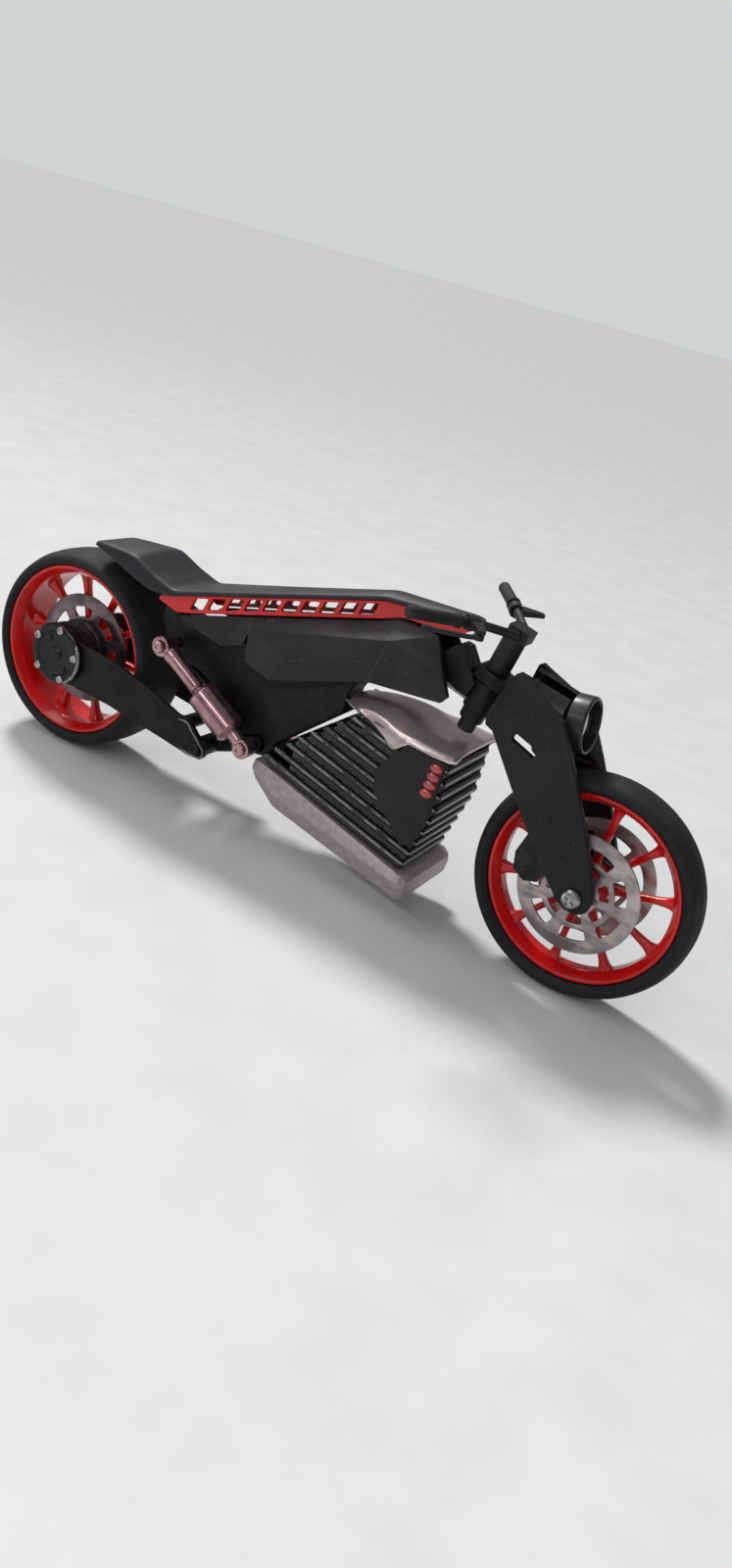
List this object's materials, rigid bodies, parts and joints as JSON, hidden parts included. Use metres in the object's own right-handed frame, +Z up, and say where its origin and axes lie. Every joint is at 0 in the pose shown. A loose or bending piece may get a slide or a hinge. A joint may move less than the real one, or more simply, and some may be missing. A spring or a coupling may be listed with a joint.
{
  "type": "radio controlled motorcycle",
  "caption": "Low cruiser model motorcycle for radio control: wide rear tyre, hub motor, finned battery case, plate fork, twin rear shocks.",
  "frame": {"origin": "ground point under the middle of the bounding box, with both tyres standing on Z = 0 and the bike upright", "axes": "+X forward to the front wheel, +Y to the rider's left, +Z up"},
  "size_m": [0.3468, 0.0882, 0.1338],
  "materials": {
    "tyre": "matte black soft rubber",
    "red_paint": "glossy red paint",
    "disc_metal": "brushed, satin",
    "zinc": "bright zinc plate",
    "steel": "plain machined steel",
    "black_plate": "matte black",
    "black_body": "satin black",
    "black_gloss": "gloss black",
    "seat_grey": "matte dark grey",
    "pan_grey": "silver grey paint, slightly rough",
    "lid_silver": "brushed, lengthwise",
    "shock_rose": "satin, faint rose tint",
    "rubber": "matte black",
    "lamp_body": "satin dark grey",
    "lamp_glass": "dark, glossy",
    "red_lens": "dull red",
    "battery_wrap": "shrink wrap",
    "board": "circuit board",
    "servo_case": "moulded",
    "white_nylon": "moulded nylon"
  },
  "bodies": {
    "chassis": {"frame_spine": "black_body", "battery_case": "black_gloss", "battery_pack": "battery_wrap", "receiver_and_speed_control": "board", "side_plate_right": "black_body", "indicator_right": "red_lens", "side_plate_left": "black_body", "indicator_left": "red_lens", "case_top_cover": "lid_silver", "belly_pan": "pan_grey", "seat_cover": "seat_grey", "trellis_rail_right": "red_paint", "trellis_rail_left": "red_paint", "side_panel_right": "black_plate", "side_panel_left": "black_plate", "head_bracket": "black_body", "steering_servo": "servo_case", "swingarm_pivot_pin": "zinc", "shock_upper_pin": "zinc"},
    "fork": {"steering_stem": "black_body", "fork_crown": "black_body", "stem_lock_collar": "black_plate", "handlebar": "black_body", "grip_right": "rubber", "grip_left": "rubber", "lever_perch_right": "black_body", "lever_perch_left": "black_body", "fork_plate_right": "black_plate", "fork_plate_left": "black_plate", "front_axle_screw": "zinc", "front_axle_nut": "zinc", "brake_caliper_right": "black_body", "brake_caliper_left": "black_body", "headlamp_ring": "lamp_body", "headlamp_lens": "lamp_glass", "headlamp_shell": "lamp_body"},
    "front_wheel": {"front_tyre": "tyre", "front_rim": "red_paint", "front_bearing_right": "steel", "front_bearing_left": "steel", "front_brake_disc_right": "disc_metal", "front_brake_disc_left": "disc_metal"},
    "swingarm_assembly": {"swingarm": "black_plate", "motor_stator": "steel", "rear_axle": "zinc", "motor_cover": "black_gloss", "shock_lower_pin": "zinc"},
    "rear_wheel": {"rear_tyre": "tyre", "rear_rim": "red_paint", "rear_brake_disc": "disc_metal", "motor_can": "black_body", "rear_bearing_right": "steel", "rear_bearing_left": "steel"},
    "shock_rod_r": {"shock_rod_right": "shock_rose"},
    "shock_cylinder_r": {"shock_cylinder_right": "shock_rose"},
    "shock_rod_l": {"shock_rod_left": "shock_rose"},
    "shock_cylinder_l": {"shock_cylinder_left": "shock_rose"},
    "horn": {"servo_horn": "white_nylon"},
    "link": {"drag_link": "steel"},
    "lever": {"brake_lever": "black_body"}
  },
  "joints": [
    {"name": "steering", "type": "hinge", "parent": "chassis", "child": "fork", "pos_m": [0.06605, 0, 0.1054], "axis": [0.2079, 0, 0.9781], "range_deg": [-25, 25]},
    {"name": "front_wheel_spin", "type": "hinge", "parent": "fork", "child": "front_wheel", "pos_m": [0.12795, 0, 0.0454], "axis": [0, 1, 0], "continuous": true},
    {"name": "swingarm_pivot", "type": "hinge", "parent": "chassis", "child": "swingarm_assembly", "pos_m": [-0.04595, 0, 0.0329], "axis": [0, 1, 0], "range_deg": [-4.5, 3], "stiffness_Nm_per_rad": 12},
    {"name": "rear_wheel_spin", "type": "hinge", "parent": "swingarm_assembly", "child": "rear_wheel", "pos_m": [-0.12795, 0, 0.0454], "axis": [0, 1, 0], "continuous": true},
    {"name": "shock_eye_r", "type": "hinge", "parent": "chassis", "child": "shock_rod_r", "pos_m": [-0.07495, -0.0166, 0.0686], "axis": [0, 1, 0], "range_deg": [-1.44, 1.06]},
    {"name": "shock_slide_r", "type": "slide", "parent": "shock_rod_r", "child": "shock_cylinder_r", "axis": [0.877, 0, -0.4806], "range_m": [-0.00146, 0.00101]},
    {"name": "shock_eye_l", "type": "hinge", "parent": "chassis", "child": "shock_rod_l", "pos_m": [-0.07495, 0.0166, 0.0686], "axis": [0, 1, 0], "range_deg": [-1.44, 1.06]},
    {"name": "shock_slide_l", "type": "slide", "parent": "shock_rod_l", "child": "shock_cylinder_l", "axis": [0.877, 0, -0.4806], "range_m": [-0.00146, 0.00101]},
    {"name": "servo_horn_turn", "type": "hinge", "parent": "chassis", "child": "horn", "pos_m": [0.02888, 0, 0.1133], "axis": [0.2079, 0, 0.9781], "range_deg": [-26, 26]},
    {"name": "drag_link_pin", "type": "hinge", "parent": "horn", "child": "link", "pos_m": [0.02888, 0.008, 0.1133], "axis": [0.2079, 0, 0.9781], "range_deg": [-26, 26]},
    {"name": "brake_lever_pull", "type": "hinge", "parent": "fork", "child": "lever", "pos_m": [0.06595, -0.027, 0.1277], "axis": [0, 0, -1], "range_deg": [0, 7], "stiffness_Nm_per_rad": 0.02}
  ],
  "couplings": [
    {"joint": "shock_eye_r", "follows": "swingarm_pivot", "ratio": 0.25303},
    {"joint": "shock_slide_r", "follows": "swingarm_pivot", "m_per_rad": 0.01737},
    {"joint": "shock_eye_l", "follows": "swingarm_pivot", "ratio": 0.25303},
    {"joint": "shock_slide_l", "follows": "swingarm_pivot", "m_per_rad": 0.01737},
    {"joint": "servo_horn_turn", "follows": "steering", "ratio": 1},
    {"joint": "drag_link_pin", "follows": "steering", "ratio": -1}
  ]
}
